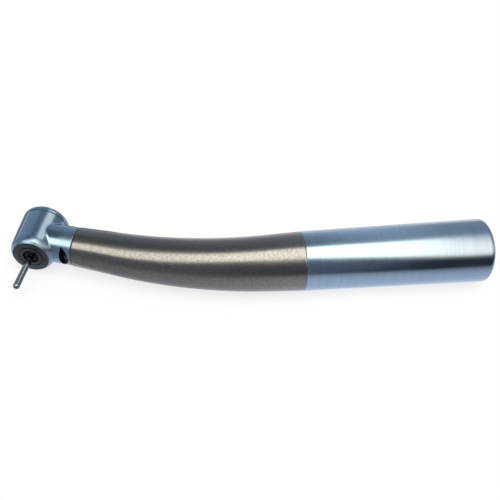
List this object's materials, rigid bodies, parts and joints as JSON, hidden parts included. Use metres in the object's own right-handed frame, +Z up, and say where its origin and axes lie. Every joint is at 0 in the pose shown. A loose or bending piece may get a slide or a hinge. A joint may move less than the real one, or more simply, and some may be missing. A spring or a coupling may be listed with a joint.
{
  "type": "dental high speed handpiece",
  "caption": "Bent dental turbine handpiece with a push-button head, gripped bur, light port, two-part handle and a quick-coupling socket.",
  "frame": {"origin": "centre of the coupling socket's bore at its mouth, where the straight wall begins", "axes": "+X along the socket, out of its mouth; the bend, the head's axis and the bur lie in the XY plane with +Y towards the push button; +Z up as the handpiece lies on its side"},
  "size_m": [0.1196, 0.0292, 0.0164],
  "materials": {
    "satin_steel": "satin stainless steel, fine brushed",
    "grip_titanium": "warm grey bead-blasted titanium coat",
    "seal_rubber": "matte black",
    "face_steel": "matte turned steel",
    "socket_steel": "turned and lapped bore",
    "plate_brass": "turned brass",
    "tube_steel": "drawn tube",
    "light_glass": "polished fibre glass rod",
    "spring_steel": "spring temper",
    "bearing_steel": "ground and polished",
    "bearing_ball": "polished ceramic",
    "cage_resin": "fibre-filled resin",
    "spindle_steel": "ground",
    "impeller_alloy": "anodised",
    "chuck_carbide": "nitride-coated collet",
    "bur_steel": "polished blank"
  },
  "bodies": {
    "handle": {"rear_sleeve": "satin_steel", "neck": "satin_steel", "head_shell": "satin_steel", "back_cap": "satin_steel", "grip_sleeve": "grip_titanium", "neck_gasket": "seal_rubber", "joint_seal": "seal_rubber", "front_oring": "seal_rubber", "rear_oring": "seal_rubber", "nose_ring": "face_steel", "coupling_socket": "socket_steel", "tube_plate": "plate_brass", "drive_air_tube": "tube_steel", "chip_air_tube": "tube_steel", "water_tube": "tube_steel", "light_guide": "light_glass", "light_window": "light_glass", "preload_washer": "spring_steel", "button_spring": "spring_steel", "front_outer_ring": "bearing_steel", "rear_outer_ring": "bearing_steel", "bearing_cup": "bearing_steel"},
    "rotor": {"spindle": "spindle_steel", "impeller": "impeller_alloy", "front_inner_ring": "bearing_steel", "rear_inner_ring": "bearing_steel", "chuck": "chuck_carbide", "chuck_spring": "spring_steel"},
    "front_cage": {"front_balls": "bearing_ball", "front_cage": "cage_resin"},
    "rear_cage": {"rear_balls": "bearing_ball", "rear_cage": "cage_resin"},
    "button": {"push_button": "satin_steel"},
    "plunger": {"chuck_plunger": "spindle_steel"},
    "bur": {"bur": "bur_steel"}
  },
  "joints": [
    {"name": "rotor_spin", "type": "hinge", "parent": "handle", "child": "rotor", "pos_m": [-0.11234, 0.01303, 0], "axis": [0.2504, 0.9681, 0], "continuous": true},
    {"name": "front_cage_spin", "type": "hinge", "parent": "handle", "child": "front_cage", "pos_m": [-0.11234, 0.01303, 0], "axis": [0.2504, 0.9681, 0], "continuous": true},
    {"name": "rear_cage_spin", "type": "hinge", "parent": "handle", "child": "rear_cage", "pos_m": [-0.11234, 0.01303, 0], "axis": [0.2504, 0.9681, 0], "continuous": true},
    {"name": "button_press", "type": "slide", "parent": "handle", "child": "button", "axis": [-0.2504, -0.9681, 0], "range_m": [0, 0.0006], "stiffness_N_per_m": 8000, "deforming": ["button_spring"]},
    {"name": "plunger_slide", "type": "slide", "parent": "rotor", "child": "plunger", "axis": [-0.2504, -0.9681, 0], "range_m": [0, 0.00048], "deforming": ["chuck_spring"]},
    {"name": "bur_slide", "type": "slide", "parent": "rotor", "child": "bur", "axis": [-0.2504, -0.9681, 0], "range_m": [0, 0.0068]}
  ],
  "couplings": [
    {"joint": "front_cage_spin", "follows": "rotor_spin", "ratio": 0.39485},
    {"joint": "rear_cage_spin", "follows": "rotor_spin", "ratio": 0.39485},
    {"joint": "plunger_slide", "follows": "button_press", "ratio": 0.8}
  ]
}
